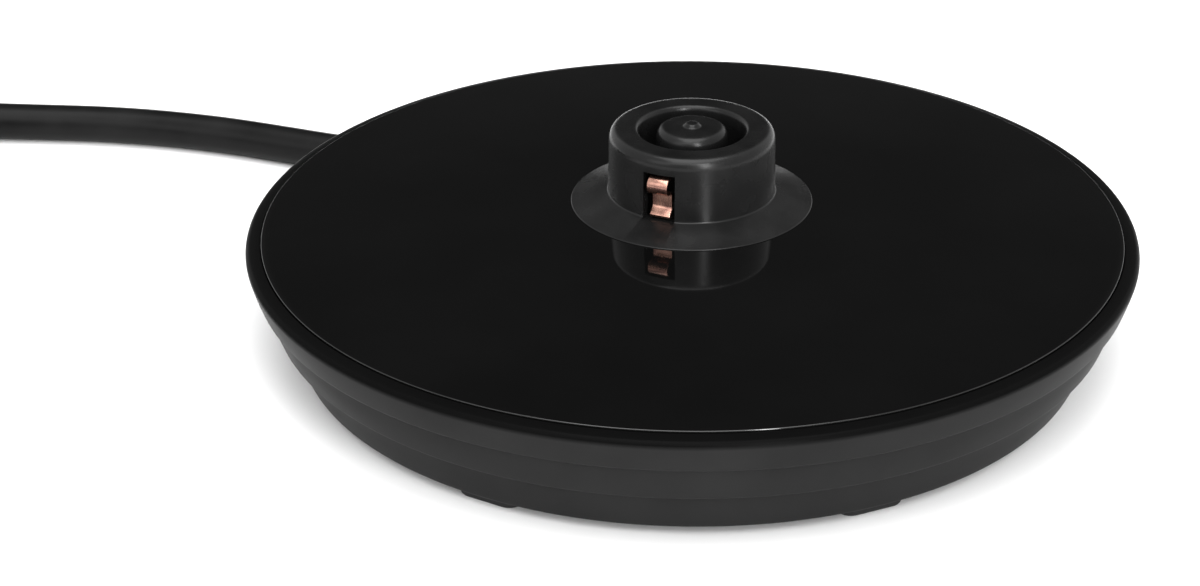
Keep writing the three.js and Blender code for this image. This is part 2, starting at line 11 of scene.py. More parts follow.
import bpy
import numpy as np
from mathutils import Matrix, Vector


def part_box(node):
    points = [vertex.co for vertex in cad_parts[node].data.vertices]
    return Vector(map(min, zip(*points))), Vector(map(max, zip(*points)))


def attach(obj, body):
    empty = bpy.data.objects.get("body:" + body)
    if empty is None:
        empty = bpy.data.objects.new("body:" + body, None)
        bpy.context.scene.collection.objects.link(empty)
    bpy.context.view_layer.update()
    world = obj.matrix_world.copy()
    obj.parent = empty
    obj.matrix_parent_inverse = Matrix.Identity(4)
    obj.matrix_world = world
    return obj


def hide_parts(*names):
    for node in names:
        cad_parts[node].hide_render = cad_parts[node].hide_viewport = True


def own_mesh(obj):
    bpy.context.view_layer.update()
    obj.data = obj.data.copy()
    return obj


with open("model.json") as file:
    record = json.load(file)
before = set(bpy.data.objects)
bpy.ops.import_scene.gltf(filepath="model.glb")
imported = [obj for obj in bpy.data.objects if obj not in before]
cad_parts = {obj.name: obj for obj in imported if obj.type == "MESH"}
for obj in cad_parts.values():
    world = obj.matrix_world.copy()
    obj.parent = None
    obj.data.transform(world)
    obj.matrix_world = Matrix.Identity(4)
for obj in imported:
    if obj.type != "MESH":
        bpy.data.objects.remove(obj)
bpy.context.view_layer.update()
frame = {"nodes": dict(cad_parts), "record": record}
MM = 0.001

# %% [markdown]
# ## Camera
# A product shot like this one is taken with a long lens, so that the disc doesn't look like a wide
# bowl. The camera could be placed by hand, but it is clearer to say how far away it stands, how high it
# looks down, and how much it is turned, and to work the rest out.

# %% Camera from a distance, an elevation and small turns
RIM_HEIGHT = 0.0222
CAMERA_DISTANCE = 0.600
CAMERA_LENS = 99.96
ELEVATION, PAN, TILT, ROLL = (math.radians(a) for a in (25.30, -1.56, -1.04, -0.30))


def camera_matrix(distance, elevation, pan, tilt, roll, target):
    """Camera in front of the target, turned by the tangents of pan and tilt, then rolled."""
    place = np.array([0, -distance * math.cos(elevation), distance * math.sin(elevation)])
    ahead = -place / np.linalg.norm(place)
    side = np.array([1.0, 0, 0])
    ahead = ahead + math.tan(pan) * side + math.tan(tilt) * np.cross(side, ahead)
    ahead /= np.linalg.norm(ahead)
    side = np.cross(ahead, [0, 0, 1])
    side /= np.linalg.norm(side)
    upward = np.cross(side, ahead)
    turned = math.cos(roll) * side + math.sin(roll) * upward
    upward = math.cos(roll) * upward - math.sin(roll) * side
    matrix = np.eye(4)
    matrix[:3, 0], matrix[:3, 1], matrix[:3, 2], matrix[:3, 3] = turned, upward, -ahead, place + target
    return Matrix(matrix.tolist())


camera = bpy.data.objects.new("camera", bpy.data.cameras.new("camera"))
bpy.context.collection.objects.link(camera)
camera.data.sensor_width = 36
camera.data.lens = CAMERA_LENS
camera.data.clip_start = 0.01
camera.matrix_world = camera_matrix(CAMERA_DISTANCE, ELEVATION, PAN, TILT, ROLL, [0, 0, RIM_HEIGHT])
bpy.context.scene.camera = camera
print("camera at", camera.matrix_world.translation[:])

# %% [markdown]
# ## Grid surfaces
# Nearly every piece here is turned, swept or pressed, so each can be written as a function of two
# parameters: where along a profile, and how far round. Working the whole grid out as arrays is quick,
# exact, and leaves even quads that shade well.

# %% Helpers that turn arrays into meshes


def mesh_object(name, points, faces, uv=None):
    """Object at the origin from an (n, 3) array of points and a list of (k, 4) face arrays."""
    mesh = bpy.data.meshes.new(name)
    mesh.from_pydata(points.tolist(), [], [face for block in faces for face in block.tolist()])
    mesh.validate()
    obj = bpy.data.objects.new(name, mesh)
    bpy.context.collection.objects.link(obj)
    if uv is not None:
        layer = mesh.uv_layers.new(name="along")
        corner = np.empty(len(mesh.loops), dtype=np.int32)
        mesh.loops.foreach_get("vertex_index", corner)
        layer.data.foreach_set("uv", uv[corner].astype(np.float32).ravel())
    return obj


def grid_faces(rows, columns, wrap_rows, wrap_columns):
    """Quads of a rows by columns grid, joined round in either direction where asked."""
    i = np.arange(rows if wrap_rows else rows - 1)[:, None]
    j = np.arange(columns if wrap_columns else columns - 1)[None, :]
    a = i * columns + j
    b = i * columns + (j + 1) % columns
    c = ((i + 1) % rows) * columns + (j + 1) % columns
    d = ((i + 1) % rows) * columns + j
    return np.stack([a, b, c, d], axis=-1).reshape(-1, 4)


def soften(obj, sharp=32):
    """Smooth shading, with edges kept sharp where the surface turns by more than the angle."""
    obj.data.shade_smooth()
    obj.data.set_sharp_from_angle(angle=math.radians(sharp))
    return obj


def outward(obj):
    """Turns a closed mesh's faces outwards, by the sign of its volume."""
    mesh = obj.data
    mesh.calc_loop_triangles()
    points = np.empty(len(mesh.vertices) * 3)
    mesh.vertices.foreach_get("co", points)
    points = points.reshape(-1, 3)
    index = np.empty(len(mesh.loop_triangles) * 3, dtype=np.int32)
    mesh.loop_triangles.foreach_get("vertices", index)
    a, b, c = points[index.reshape(-1, 3)].transpose(1, 0, 2)
    if np.einsum("ij,ij->i", a, np.cross(b, c)).sum() < 0:
        mesh.flip_normals()
    return obj


def rounded(profile, radius, steps=5):
    """Outline with each corner replaced by an arc: the corner is cut back along both sides by
    the same length, and a quadratic curve joins the two cuts. A point's third value is its own
    radius."""
    raw = np.array([(p[0], p[1]) for p in profile], dtype=float)
    radii = [p[2] if len(p) > 2 else radius for p in profile]
    out = [raw[0]]
    for before, corner, after, r in zip(raw[:-2], raw[1:-1], raw[2:], radii[1:-1]):
        to_before, to_after = before - corner, after - corner
        cut = min(r, np.linalg.norm(to_before) / 2.1, np.linalg.norm(to_after) / 2.1)
        first = corner + to_before / np.linalg.norm(to_before) * cut
        last = corner + to_after / np.linalg.norm(to_after) * cut
        t = np.linspace(0, 1, steps)[:, None]
        out.extend((1 - t) ** 2 * first + 2 * t * (1 - t) * corner + t**2 * last)
    out.append(raw[-1])
    return np.array(out)


def turned(name, profile, sides=192, closed=True):
    """Surface of revolution: point (r, z) of the profile goes to (r cos a, r sin a, z) for each
    angle a. The profile closes on itself, or starts and ends on the axis."""
    profile = np.asarray(profile) * MM
    angle = np.linspace(0, 2 * np.pi, sides, endpoint=False)
    if not closed:
        middle = profile[1:-1]
    else:
        middle = profile[:-1] if np.allclose(profile[0], profile[-1]) else profile
    r, z = middle[:, :1], middle[:, 1:]
    points = np.stack([r * np.cos(angle), r * np.sin(angle), z + 0 * angle], axis=-1).reshape(-1, 3)
    faces = [grid_faces(len(middle), sides, closed, True)]
    if not closed:
        poles = np.array([[0, 0, profile[0, 1]], [0, 0, profile[-1, 1]]])
        points = np.vstack([points, poles])
        j = np.arange(sides)
        last = (len(middle) - 1) * sides
        faces.append(np.stack([(j + 1) % sides, j, np.full(sides, len(points) - 2)], axis=-1))
        faces.append(np.stack([last + j, last + (j + 1) % sides, np.full(sides, len(points) - 1)], -1))
    return outward(soften(mesh_object(name, points, faces)))


def join(name, *objects):
    """One object from several, with their meshes kept as separate closed shells."""
    blocks, faces, start = [], [], 0
    for obj in objects:
        blocks.append(np.array([v.co[:] for v in obj.data.vertices]))
        faces += [[start + k for k in poly.vertices] for poly in obj.data.polygons]
        start += len(obj.data.vertices)
        bpy.data.objects.remove(obj)
    mesh = bpy.data.meshes.new(name)
    mesh.from_pydata(np.vstack(blocks).tolist(), [], faces)
    whole = bpy.data.objects.new(name, mesh)
    bpy.context.collection.objects.link(whole)
    return soften(whole)


def moved(obj, matrix):
    """Places a mesh for good: the matrix goes into its points, and the object stays at the origin."""
    obj.data.transform(matrix)
    obj.data.update()
    return obj


def cut(obj, *cutters):
    """Takes cutter shapes away from a piece, and keeps only the result."""
    for cutter in cutters:
        step = obj.modifiers.new("cut", "BOOLEAN")
        step.operation, step.solver, step.object = "DIFFERENCE", "EXACT", cutter
    whole = obj.evaluated_get(bpy.context.evaluated_depsgraph_get())
    mesh = bpy.data.meshes.new_from_object(whole)
    obj.modifiers.clear()
    obj.data = mesh
    for cutter in cutters:
        bpy.data.objects.remove(cutter)
    return soften(obj)


def turn_z(degrees):
    """Rotation about the upright axis."""
    return Matrix.Rotation(math.radians(degrees), 4, "Z")


def shift(x, y, z):
    """Translation by millimetres."""
    return Matrix.Translation((x * MM, y * MM, z * MM))


def block(x0, x1, width, z0, z1, degrees=0):
    """Box along a radius, from x0 to x1, as a cutter."""
    x, y, z = np.meshgrid([x0, x1], [-width / 2, width / 2], [z0, z1], indexing="ij")
    points = np.stack([x, y, z], axis=-1).reshape(-1, 3) * MM
    sides = [[0, 1, 3, 2], [4, 6, 7, 5], [0, 4, 5, 1], [2, 3, 7, 6], [0, 2, 6, 4], [1, 5, 7, 3]]
    return moved(mesh_object("cutter", points, [np.array(sides)]), turn_z(degrees))


def settle(obj, node, finish):
    """Gives a finished piece its material, hides the frame's plain node and rides on its body."""
    obj.data.materials.clear()
    obj.data.materials.append(finish)
    nodes = [node] if isinstance(node, str) else list(node)
    body = next(b for b, names in frame["record"]["behaviour"]["bodies"].items() if nodes[0] in names)
    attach(obj, body)
    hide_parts(*nodes)
    return obj


slot_of = {part["node"]: part["material_slot"] for part in frame["record"]["subparts"]}

# %% [markdown]
# ## Finishes
# Black plastic isn't one material. The panel is polished like a mirror, the side wall is a little
# duller, the connector is satin, and the rubber is matt. Each gets a near-black colour, and what tells
# them apart is roughness and a fine surface relief, both driven by noise at a real scale.

# %% Node helpers and the plastics


def shader(name):
    """New node material: returns the material, its tree and its Principled shader."""
    material = bpy.data.materials.new(name)
    material.use_nodes = True
    tree = material.node_tree
    return material, tree, tree.nodes["Principled BSDF"]


def noise(tree, scale, detail=3.0, stretch=(1, 1, 1)):
    """Noise on object coordinates: features are about 1 / scale metres across."""
    place = tree.nodes.new("ShaderNodeTexCoord")
    mapping = tree.nodes.new("ShaderNodeMapping")
    mapping.inputs["Scale"].default_value = stretch
    texture = tree.nodes.new("ShaderNodeTexNoise")
    texture.inputs["Scale"].default_value = scale
    texture.inputs["Detail"].default_value = detail
    tree.links.new(place.outputs["Object"], mapping.inputs["Vector"])
    tree.links.new(mapping.outputs["Vector"], texture.inputs["Vector"])
    return texture.outputs["Fac"]


def spread(tree, source, low, high, start=0.3, stop=0.7):
    """Maps a 0 to 1 pattern onto a range."""
    node = tree.nodes.new("ShaderNodeMapRange")
    node.inputs["From Min"].default_value, node.inputs["From Max"].default_value = start, stop
    node.inputs["To Min"].default_value, node.inputs["To Max"].default_value = low, high
    tree.links.new(source, node.inputs["Value"])
    return node.outputs["Result"]


def relief(tree, bsdf, source, depth):
    """Bumps the surface by a depth in metres."""
    node = tree.nodes.new("ShaderNodeBump")
    node.inputs["Strength"].default_value = 1.0
    node.inputs["Distance"].default_value = depth
    tree.links.new(source, node.inputs["Height"])
    tree.links.new(node.outputs["Normal"], bsdf.inputs["Normal"])


def tint(tree, bsdf, source, dark, light, start=0.3, stop=0.7):
    """Base colour that runs from dark to light with a pattern."""
    ramp = tree.nodes.new("ShaderNodeValToRGB")
    ramp.color_ramp.elements[0].position, ramp.color_ramp.elements[0].color = start, (*dark, 1)
    ramp.color_ramp.elements[1].position, ramp.color_ramp.elements[1].color = stop, (*light, 1)
    tree.links.new(source, ramp.inputs["Fac"])
    tree.links.new(ramp.outputs["Color"], bsdf.inputs["Base Color"])


def plastic(name, dark, light, rough, grain, depth, patch=55.0, shine=0.5):
    """Moulded plastic: colour and roughness drift in soft patches, over a fine relief."""
    material, tree, bsdf = shader(name)
    patches = noise(tree, patch, 4)
    tint(tree, bsdf, patches, dark, light)
    tree.links.new(spread(tree, patches, *rough), bsdf.inputs["Roughness"])
    relief(tree, bsdf, noise(tree, grain, 2), depth)
    bsdf.inputs["Specular IOR Level"].default_value = shine
    return material


def darken_above(material, low, high, colour):
    """Goes over to one colour between two heights, given in millimetres."""
    tree = material.node_tree
    bsdf = tree.nodes["Principled BSDF"]
    place = tree.nodes.new("ShaderNodeTexCoord")
    split = tree.nodes.new("ShaderNodeSeparateXYZ")
    mix = tree.nodes.new("ShaderNodeMixRGB")
    tree.links.new(place.outputs["Object"], split.inputs["Vector"])
    tree.links.new(spread(tree, split.outputs["Z"], 0, 1, low * MM, high * MM), mix.inputs["Fac"])
    tree.links.new(bsdf.inputs["Base Color"].links[0].from_socket, mix.inputs["Color1"])
    mix.inputs["Color2"].default_value = (*colour, 1)
    tree.links.new(mix.outputs["Color"], bsdf.inputs["Base Color"])


gloss = plastic("gloss_black", (0.0018,) * 3, (0.0026,) * 3, (0.03, 0.06), 240, 0.0000015, 30, 0.5)
moulding = plastic("moulding_black", (0.014,) * 3, (0.018,) * 3, (0.3, 0.4), 900, 0.000004, 60, 0.015)
satin = plastic("satin_black", (0.004,) * 3, (0.007,) * 3, (0.22, 0.3), 2400, 0.00001, 160, 0.2)
nylon = plastic("nylon_black", (0.012,) * 3, (0.02,) * 3, (0.45, 0.6), 3200, 0.00002)
rubber = plastic("rubber_black", (0.008,) * 3, (0.014,) * 3, (0.6, 0.8), 3800, 0.00003, 200, 0.3)
sheath = plastic("sheath_black", (0.004,) * 3, (0.007,) * 3, (0.3, 0.4), 1800, 0.00001, 120, 0.1)
print("plastics:", [m.name for m in (gloss, moulding, satin, nylon, rubber, sheath)])

# %% [markdown]
# ## Metals and wires
# The spring contacts are rolled copper alloy: warm, bright where they bend, with fine lines along the
# rolling direction and a little brown tarnish. The wires inside carry the colours of a mains lead.

# %% Metals and wire insulation


def metal(name, dark, light, rough, line_scale, stretch=(1, 1, 0.06)):
    """Rolled or plated metal: fine lines stretched along Z, over patches of tarnish."""
    material, tree, bsdf = shader(name)
    tint(tree, bsdf, noise(tree, 420, 5), dark, light, 0.32, 0.62)
    lines = noise(tree, line_scale, 3, stretch)
    tree.links.new(spread(tree, lines, *rough), bsdf.inputs["Roughness"])
    relief(tree, bsdf, lines, 0.000004)
    bsdf.inputs["Metallic"].default_value = 1
    return material


copper = metal("rolled_copper", (0.26, 0.135, 0.11), (0.50, 0.28, 0.215), (0.18, 0.32), 5200)
brass = metal("stamped_brass", (0.5, 0.36, 0.14), (0.8, 0.62, 0.3), (0.22, 0.4), 4200)
nickel = metal("plated_nickel", (0.52, 0.51, 0.48), (0.72, 0.70, 0.66), (0.12, 0.24), 4200)
steel = metal("zinc_steel", (0.3, 0.31, 0.33), (0.52, 0.53, 0.55), (0.25, 0.42), 4200)
live_skin = plastic(
    "live_insulation", (0.10, 0.03, 0.012), (0.13, 0.042, 0.018), (0.3, 0.42), 1800, 0.00001,
)
neutral_skin = plastic(
    "neutral_insulation", (0.012, 0.06, 0.25), (0.018, 0.08, 0.32), (0.3, 0.42), 1800, 0.00001,
)


def striped_insulation():
    """Earth wire: green and yellow bands round the wire, from the piece's own UV map."""
    material, tree, bsdf = shader("earth_insulation")
    where = tree.nodes.new("ShaderNodeUVMap")
    where.uv_map = "along"
    split = tree.nodes.new("ShaderNodeSeparateXYZ")
    ramp = tree.nodes.new("ShaderNodeValToRGB")
    ramp.color_ramp.interpolation = "CONSTANT"
    ramp.color_ramp.elements[0].color = (0.03, 0.20, 0.03, 1)
    ramp.color_ramp.elements[1].position = 0.5
    ramp.color_ramp.elements[1].color = (0.75, 0.6, 0.03, 1)
    tree.links.new(where.outputs["UV"], split.inputs["Vector"])
    tree.links.new(split.outputs["Y"], ramp.inputs["Fac"])
    tree.links.new(ramp.outputs["Color"], bsdf.inputs["Base Color"])
    tree.links.new(spread(tree, noise(tree, 900, 3), 0.3, 0.42), bsdf.inputs["Roughness"])
    relief(tree, bsdf, noise(tree, 1800, 2), 0.00001)
    return material


earth_skin = striped_insulation()
finish_of = {
    "gloss": gloss, "moulding": moulding, "satin": satin, "nylon": nylon, "rubber": rubber,
    "sheath": sheath, "copper": copper, "brass": brass, "nickel": nickel, "steel": steel,
    "earth_wire": earth_skin, "live_wire": live_skin, "neutral_wire": neutral_skin,
}
for node, obj in frame["nodes"].items():
    obj.data.materials.clear()
    obj.data.materials.append(finish_of[slot_of[node]])
print("finishes:", sorted(finish_of))

# %% [markdown]
# ## The cord
# A kettle base has a three-core lead about 7.4 mm thick and 0.75 m long. It leaves the hub under the
# disc, comes out through a notch at the back, and lies on the worktop. The end that isn't in view is
# wound into two turns, one on the other. A lead has no seam, so one smooth curve is enough: listed
# points for the stretch that lies free, and a loop for the turns.

# %% Route of the cord
CORD_DIAMETER = 7.4
CORD_ANGLE = 129
LEAD = [
    (-35.9, 44.3, 9.2), (-37.8, 46.6, 9.1), (-42.2, 52.1, 8.5), (-46.6, 57.5, 7.4), (-51.0, 62.6, 6.2),
    (-55.8, 67.3, 5.1), (-61.4, 71.2, 4.4), (-68.0, 74.2, 4.0), (-75.5, 77.2, 3.8), (-84.0, 80.3, 3.8),
    (-93.0, 83.5, 3.8), (-102.0, 86.1, 3.8), (-112.0, 88.3, 3.8), (-123.0, 89.8, 3.8),
    (-134.0, 90.5, 3.8), (-145.0, 90.9, 3.9), (-154.0, 91.0, 4.2), (-162.5, 91.0, 4.6),
]
TAIL = [
    (-233.0, 56.5, 12.6), (-233.8, 49.5, 13.6), (-234.2, 42.5, 15.0), (-234.3, 35.5, 16.6),
    (-234.3, 29.5, 17.8), (-234.3, 24.0, 18.2),
]
coil_low, coil_high = (np.array(corner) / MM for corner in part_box("cord_coil"))
coil_middle = (coil_low + coil_high)[:2] / 2
coil_radius = (coil_high - coil_low)[0] / 2 - CORD_DIAMETER / 2
lower_z = coil_low[2] + CORD_DIAMETER / 2
upper_z = lower_z + CORD_DIAMETER + 0.2


def smooth_step(t):
    """Runs from 0 to 1 with flat ends: 3 t squared minus 2 t cubed."""
    t = np.clip(t, 0, 1)
    return t * t * (3 - 2 * t)


def coil_turns():
    """Two turns from the back of the ring: the first on the floor, climbing over its own start in
    its last eighth, the second on top, and a last quarter that swings out to the plug's side."""
    turns = np.linspace(0, 2.2, int(2.2 * 36))
    angle = np.pi / 2 + 2 * np.pi * turns
    height = lower_z + (upper_z - lower_z) * smooth_step((turns - 0.74) / 0.24)
    reach = coil_radius + 9.0 * smooth_step((turns - 1.98) / 0.24)
    x = coil_middle[0] + reach * np.cos(angle)
    y = coil_middle[1] + reach * np.sin(angle)
    return np.stack([x, y, height], axis=-1)


def catmull_rom(points, step):
    """Smooth line through points at an even step: each span is the cubic whose end slopes are
    half the chord between the neighbours, then the line is sampled again by its length."""
    points = np.asarray(points, dtype=float)
    padded = np.vstack([2 * points[0] - points[1], points, 2 * points[-1] - points[-2]])
    p0, p1, p2, p3 = padded[:-3], padded[1:-2], padded[2:-1], padded[3:]
    t = np.linspace(0, 1, 16, endpoint=False)[None, :, None]
    span = [p[:, None, :] for p in (p0, p1, p2, p3)]
    line = 0.5 * (
        2 * span[1] + (span[2] - span[0]) * t
        + (2 * span[0] - 5 * span[1] + 4 * span[2] - span[3]) * t**2
        + (3 * span[1] - span[0] - 3 * span[2] + span[3]) * t**3
    )
    line = np.vstack([line.reshape(-1, 3), points[-1]])
    along = np.concatenate([[0], np.cumsum(np.linalg.norm(np.diff(line, axis=0), axis=1))])
    even = np.linspace(0, along[-1], max(4, int(round(along[-1] / step)) + 1))
    return np.stack([np.interp(even, along, line[:, k]) for k in range(3)], axis=-1)


cord_line = catmull_rom(np.vstack([LEAD, coil_turns()[1:], TAIL]), 1.6)
cord_length = np.linalg.norm(np.diff(cord_line, axis=0), axis=1).sum() * MM
print(f"cord is {cord_length:.3f} m long")


def curve_piece(name, line, diameter, finish):
    """Round cord as a curve of one open spline with a filled bevel."""
    curve = bpy.data.curves.new(name, "CURVE")
    curve.dimensions = "3D"
    curve.bevel_depth = diameter / 2 * MM
    curve.bevel_resolution = 6
    curve.use_fill_caps = True
    spline = curve.splines.new("POLY")
    spline.points.add(len(line) - 1)
    flat = np.column_stack([line * MM, np.ones(len(line))])
    spline.points.foreach_set("co", flat.astype(np.float32).ravel())
    curve.materials.append(finish)
    obj = bpy.data.objects.new(name, curve)
    bpy.context.collection.objects.link(obj)
    return obj


mains_cord = curve_piece("mains_cord", cord_line, CORD_DIAMETER, sheath)
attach(mains_cord, "base")
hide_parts("cord_lead", "cord_coil", "cord_tail")

# %% [markdown]
# ## Light, floor and surroundings
# Black gloss shows only what it reflects. The floor is near white, so the side wall picks up a soft
# grey from it, while the tent is dark at the back, so the panel stays deep black. A broad light
# overhead keeps the floor even, a box on the left lights the copper, and a narrow strip on the right
# leaves one soft streak on the satin post.

# %% Floor, world and lamps
TENT_LEVEL, DARK_LEVEL, DARK_ELEVATION = 1.0, 0.035, math.radians(28)
DARK_SQUEEZE = 2.2


def studio_floor():
    """Plain pale floor under the object."""
    points = np.array([[-4, -4, 0], [4, -4, 0], [4, 4, 0], [-4, 4, 0]], dtype=float)
    obj = mesh_object("floor", points, [np.array([[0, 1, 2, 3]])])
    material, tree, bsdf = shader("floor_paper")
    bsdf.inputs["Base Color"].default_value = (0.9, 0.9, 0.9, 1)
    bsdf.inputs["Roughness"].default_value = 0.9
    obj.data.materials.append(material)


def studio_world():
    """Light tent: pale all round, but dark towards the back, which is what the panel mirrors. The
    dark patch is an upright oval: the distance from its middle, squeezed from side to side, is put
    through a smooth step."""
    world = bpy.data.worlds.new("studio")
    world.use_nodes = True
    tree = world.node_tree
    place = tree.nodes.new("ShaderNodeTexCoord")
    offset, squeeze, reach = (tree.nodes.new("ShaderNodeVectorMath") for _ in range(3))
    offset.operation, squeeze.operation, reach.operation = "SUBTRACT", "MULTIPLY", "LENGTH"
    offset.inputs[1].default_value = (0, math.cos(DARK_ELEVATION), math.sin(DARK_ELEVATION))
    squeeze.inputs[1].default_value = (DARK_SQUEEZE, 1, 1)
    step = tree.nodes.new("ShaderNodeMapRange")
    step.interpolation_type = "SMOOTHSTEP"
    step.inputs["From Min"].default_value = 0.55
    step.inputs["From Max"].default_value = 1.05
    step.inputs["To Min"].default_value = DARK_LEVEL
    step.inputs["To Max"].default_value = TENT_LEVEL
    tree.links.new(place.outputs["Generated"], offset.inputs[0])
    tree.links.new(offset.outputs["Vector"], squeeze.inputs[0])
    tree.links.new(squeeze.outputs["Vector"], reach.inputs[0])
    tree.links.new(reach.outputs["Value"], step.inputs["Value"])
    tree.links.new(step.outputs["Result"], tree.nodes["Background"].inputs["Strength"])
    tree.nodes["Background"].inputs["Color"].default_value = (1, 1, 1, 1)
    bpy.context.scene.world = world


def soft_box(name, azimuth, elevation, distance, width, height, radiance):
    """Rectangular soft light that faces the object; its power is radiance times pi times area."""
    light = bpy.data.lights.new(name, "AREA")
    light.shape = "RECTANGLE"
    light.size, light.size_y = width, height
    light.energy = radiance * math.pi * width * height
    obj = bpy.data.objects.new(name, light)
    bpy.context.collection.objects.link(obj)
    a, e = math.radians(azimuth), math.radians(elevation)
    place = Matrix.Translation((
        distance * math.cos(e) * math.cos(a), distance * math.cos(e) * math.sin(a),
        distance * math.sin(e) + 0.03,
    )).translation
    obj.location = place
    obj.rotation_euler = (-place).to_track_quat("-Z", "Y").to_euler()


studio_floor()
studio_world()
soft_box("overhead", 270, 86, 1.6, 1.2, 1.2, 5.0)
soft_box("front", 266, 52, 1.4, 1.1, 0.8, 2.9)
soft_box("left_box", 224, 30, 1.2, 0.6, 0.6, 1.6)
soft_box("right_strip", 289, 24, 1.2, 0.1, 1.0, 36.0)
bpy.context.scene.view_settings.view_transform = "Standard"

# %% [markdown]
# ## Top panel and side wall
# The panel is a shallow dome, polished, and dropped into a seat in the rim. The side wall is moulded in
# three steps that get narrower towards the floor, under a rounded rim. Both are turned shapes, so each
# is one profile carried round the axis, with its corners rounded to the radius a mould leaves.

# %% Panel
WALL = 2.0
panel_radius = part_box("top_cover")[1][0] / MM
shell_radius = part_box("side_shell")[1][0] / MM
shell_floor, shell_top = (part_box("side_shell")[k][2] / MM for k in (0, 1))
COVER_SCREWS = [(63, angle) for angle in (30, 150, 270)]
RETAINER_SCREWS = [(21.5, angle) for angle in (70, 157, 343)]
NOTCH_TOP = 13.8
panel_hole = 17.0
panel_wall = 2.4
dome_rise = 5.6
panel_edge = shell_top + 0.4
rim_z = shell_top - 1.2


def dome(r):
    """Height of the panel: its crown less the rise times the square of the share of the radius."""
    return panel_edge + dome_rise * (1 - (np.asarray(r) / panel_radius) ** 2)


def screw_post(radius, angle, foot, outer, pilot):
    """Hollow post under the panel for a self-tapping screw."""
    top = float(dome(radius)) - panel_wall + 0.5
    bore_top = top - 1.5
    tube = turned("post", [
        (0, top), (outer, top), (outer, foot), (pilot, foot), (pilot, bore_top), (0, bore_top),
    ], 32, closed=False)
    x, y = radius * math.cos(math.radians(angle)), radius * math.sin(math.radians(angle))
    return moved(tube, shift(x, y, 0))


def make_top_cover():
    """Dome, underside and rounded edge as one closed ring, with its screw posts."""
    r = np.linspace(panel_hole + 0.4, panel_radius - 0.18, 40)
    upper = np.stack([r, dome(r)], axis=-1)
    turn = np.linspace(0, np.pi / 2, 8)
    edge = np.stack([
        panel_radius - 0.15 + 0.15 * np.sin(turn),
        float(dome(panel_radius)) - 0.13 + 0.15 * np.cos(turn),
    ], axis=-1)
    s = np.linspace(panel_radius, panel_hole, 24)
    under = np.stack([s, dome(s) - panel_wall], axis=-1)
    lip = np.array([[panel_hole, float(dome(panel_hole)) - 0.4]])
    panel = turned("panel", np.vstack([upper, edge, under, lip]), 256)
    posts = [screw_post(*at, 6.4, 2.0, 1.3) for at in COVER_SCREWS]
    posts += [screw_post(*at, 16.2, 2.4, 1.3) for at in RETAINER_SCREWS]
    return join("top_panel", panel, *posts)


settle(make_top_cover(), "top_cover", gloss)

# %% [markdown]
# ## Side wall
# The wall is one ring with three tiers outside, and a notch for the cord. The top of the rim mirrors
# the same dark tent as the panel, so the two read as one black disc, and only the wall below the
# widest edge looks grey. Here that dark reflection is painted: above the widest edge the base colour
# goes over to a darker black. Two materials on one mesh would need a seam, so one material changes
# with height instead.

# %% Side wall
painted_dark_rim_moulding = moulding.copy()
painted_dark_rim_moulding.name = "painted_dark_rim_black"
# Painted dark reflection: the rim top's base colour goes darker, in place of the dark tent that the real
# gloss mirrors there.
darken_above(painted_dark_rim_moulding, rim_z - 0.5, rim_z + 0.3, (0.0024,) * 3)


def make_side_shell():
    """Rim and three tiers outside, an even wall inside, and the notch for the cord."""
    a, b, c = shell_radius - 1.7, shell_radius - 4.9, shell_radius - 9.4
    a_z, b_z = rim_z - 5.2, rim_z - 12.1
    inner = c - 2.3
    seat = panel_radius + 0.12
    seat_z = float(dome(panel_radius)) - panel_wall - 0.4
    profile = rounded([
        (inner, shell_floor + 1), (inner, shell_floor, 0.3), (c - 0.1, shell_floor, 0.7),
        (c + 1.3, shell_floor + 3, 2.0), (b - 1.5, b_z - 0.5, 0.3), (b, b_z + 0.1, 0.5),
        (b + 1.2, b_z + 3.2, 2.4), (a - 1.3, a_z - 0.5, 0.3), (a, a_z + 0.1, 0.5),
        (shell_radius - 0.7, rim_z - 2.4, 1.6), (shell_radius, rim_z, 1.0),
        (shell_radius - 0.5, shell_top - 0.35, 0.5), (seat, shell_top + 0.1, 0.2), (seat, seat_z, 0.2),
        (seat - 2.3, seat_z, 0.3), (seat - 2.3, a_z + 0.4, 0.6), (b - 2.3, b_z + 0.8, 0.6),
        (b - 4.2, b_z - 0.6, 0.6), (inner + 0.5, 6.2, 0.4), (inner - 1.4, 6.2, 0.2),
        (inner - 1.4, 4.5, 0.2), (inner, 4.5, 0.2), (inner, shell_floor + 1),
    ], 0.4, 6)
    shell = turned("side_wall", profile, 288)
    return cut(shell, block(54.5, 84, CORD_DIAMETER + 3, -1, NOTCH_TOP, CORD_ANGLE))


settle(make_side_shell(), "side_shell", painted_dark_rim_moulding)

# %% [markdown]
# ## Connector
# The post in the middle is what the kettle drops over. It has a flange that sits on the panel, a round
# well with a sprung centre boss, and a window where the copper earth contact looks out. The window is
# cut from the turned post, because a real mould closes there with a separate slide.

# %% Post, flange and well
flange_low, flange_high = (np.array(corner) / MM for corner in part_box("socket_cover"))
flange_radius, post_top = flange_high[0], flange_high[2]
post_root = post_top - 11.8
flange_z = post_root - 2.0
WELL_RADIUS, SLEEVE_RADIUS, CAVITY_RADIUS = 9.3, 10.6, 12.9
WINDOW_ANGLE, LIVE_ANGLE, NEUTRAL_ANGLE = 247, 190, 310


